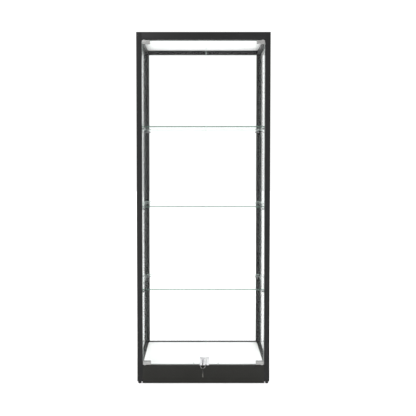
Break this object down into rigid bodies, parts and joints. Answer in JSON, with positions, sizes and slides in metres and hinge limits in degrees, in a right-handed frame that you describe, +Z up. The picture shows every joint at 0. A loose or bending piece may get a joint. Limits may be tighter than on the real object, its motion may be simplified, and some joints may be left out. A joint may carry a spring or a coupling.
{
  "type": "display case",
  "caption": "Tall free-standing glass showcase with a slim black frame, hinged glass doors, glass shelves on pegs and a keyed door lock.",
  "frame": {"origin": "middle of the case's footprint at floor level, with the feet wound in", "axes": "+Z up, -Y out of the doors, +X to the right as seen from the front"},
  "size_m": [0.756, 0.5466, 2],
  "materials": {
    "black_frame": "satin powder coat",
    "black_plinth": "satin powder coat",
    "black_plastic": "fine grain",
    "zinc": "as cast",
    "white_board": "satin laminate",
    "aluminium_angle": "mill finish",
    "steel": "plated",
    "clear_glass": "polished edges",
    "gasket_rubber": "matt",
    "clear_plastic": "soft clear plastic",
    "white_plastic": "moulded",
    "satin_nickel": "satin",
    "chrome": "polished",
    "key_metal": "nickel plated"
  },
  "bodies": {
    "frame": {"post_front_left": "black_frame", "post_front_right": "black_frame", "post_rear_left": "black_frame", "post_rear_right": "black_frame", "post_caps": "black_plastic", "header_rail": "black_frame", "top_rail_rear": "black_frame", "top_rail_left": "black_frame", "top_rail_right": "black_frame", "front_fascia": "black_plinth", "rear_plinth": "black_plinth", "left_plinth": "black_plinth", "right_plinth": "black_plinth", "top_connectors": "zinc", "base_connectors": "zinc", "ceiling_panel": "white_board", "deck_panel": "white_board", "deck_bearers": "aluminium_angle", "base_screws": "steel", "left_side_glass": "clear_glass", "left_side_gasket": "gasket_rubber", "right_side_glass": "clear_glass", "right_side_gasket": "gasket_rubber", "rear_glass": "clear_glass", "rear_gasket": "gasket_rubber", "top_shelf": "clear_glass", "middle_shelf": "clear_glass", "lower_shelf": "clear_glass", "shelf_pegs": "steel", "shelf_cups": "clear_plastic", "foot_inserts": "zinc", "pivot_bushes": "white_plastic", "door_bumpers": "clear_plastic"},
    "left_door": {"left_door_glass": "clear_glass", "left_door_upper_hinge": "satin_nickel", "left_door_lower_hinge": "satin_nickel", "left_hinge_screws": "steel", "left_hinge_pads": "gasket_rubber", "left_pivot_pins": "steel", "lock_case": "chrome"},
    "right_door": {"right_door_glass": "clear_glass", "right_door_upper_hinge": "satin_nickel", "right_door_lower_hinge": "satin_nickel", "right_hinge_screws": "steel", "right_hinge_pads": "gasket_rubber", "right_pivot_pins": "steel", "lock_keeper": "chrome"},
    "lock_plug": {"lock_plug": "chrome", "lock_cam": "zinc", "key_head": "black_plastic", "key_blade": "key_metal"},
    "lock_bolt": {"lock_bolt": "steel"},
    "key_ring": {"key_ring": "steel"},
    "spare_key": {"spare_key_head": "black_plastic", "spare_key_blade": "key_metal"},
    "foot_front_left": {"foot_front_left": "black_plastic"},
    "foot_front_right": {"foot_front_right": "black_plastic"},
    "foot_rear_left": {"foot_rear_left": "black_plastic"},
    "foot_rear_right": {"foot_rear_right": "black_plastic"}
  },
  "joints": [
    {"name": "left_door_swing", "type": "hinge", "parent": "frame", "child": "left_door", "pos_m": [-0.335, -0.2425, 0.108], "axis": [0, 0, -1], "range_deg": [0, 110]},
    {"name": "right_door_swing", "type": "hinge", "parent": "frame", "child": "right_door", "pos_m": [0.335, -0.2425, 0.108], "axis": [0, 0, 1], "range_deg": [0, 110]},
    {"name": "lock_turn", "type": "hinge", "parent": "left_door", "child": "lock_plug", "pos_m": [-0.003, -0.263, 0.132], "axis": [0, -1, 0], "range_deg": [0, 90]},
    {"name": "lock_bolt_slide", "type": "slide", "parent": "left_door", "child": "lock_bolt", "axis": [1, 0, 0], "range_m": [0, 0.01]},
    {"name": "key_ring_swing", "type": "hinge", "parent": "lock_plug", "child": "key_ring", "pos_m": [-0.003, -0.2846, 0.1299], "axis": [-1, 0, 0], "range_deg": [-15, 75]},
    {"name": "spare_key_swing", "type": "hinge", "parent": "key_ring", "child": "spare_key", "pos_m": [-0.003, -0.2846, 0.1021], "axis": [-1, 0, 0], "range_deg": [-15, 45]},
    {"name": "foot_front_left_screw", "type": "slide", "parent": "frame", "child": "foot_front_left", "axis": [0, 0, -1], "range_m": [0, 0.012]},
    {"name": "foot_front_right_screw", "type": "slide", "parent": "frame", "child": "foot_front_right", "axis": [0, 0, -1], "range_m": [0, 0.012]},
    {"name": "foot_rear_left_screw", "type": "slide", "parent": "frame", "child": "foot_rear_left", "axis": [0, 0, -1], "range_m": [0, 0.012]},
    {"name": "foot_rear_right_screw", "type": "slide", "parent": "frame", "child": "foot_rear_right", "axis": [0, 0, -1], "range_m": [0, 0.012]}
  ],
  "couplings": [
    {"joint": "lock_bolt_slide", "follows": "lock_turn", "m_per_rad": 0.0063662}
  ]
}
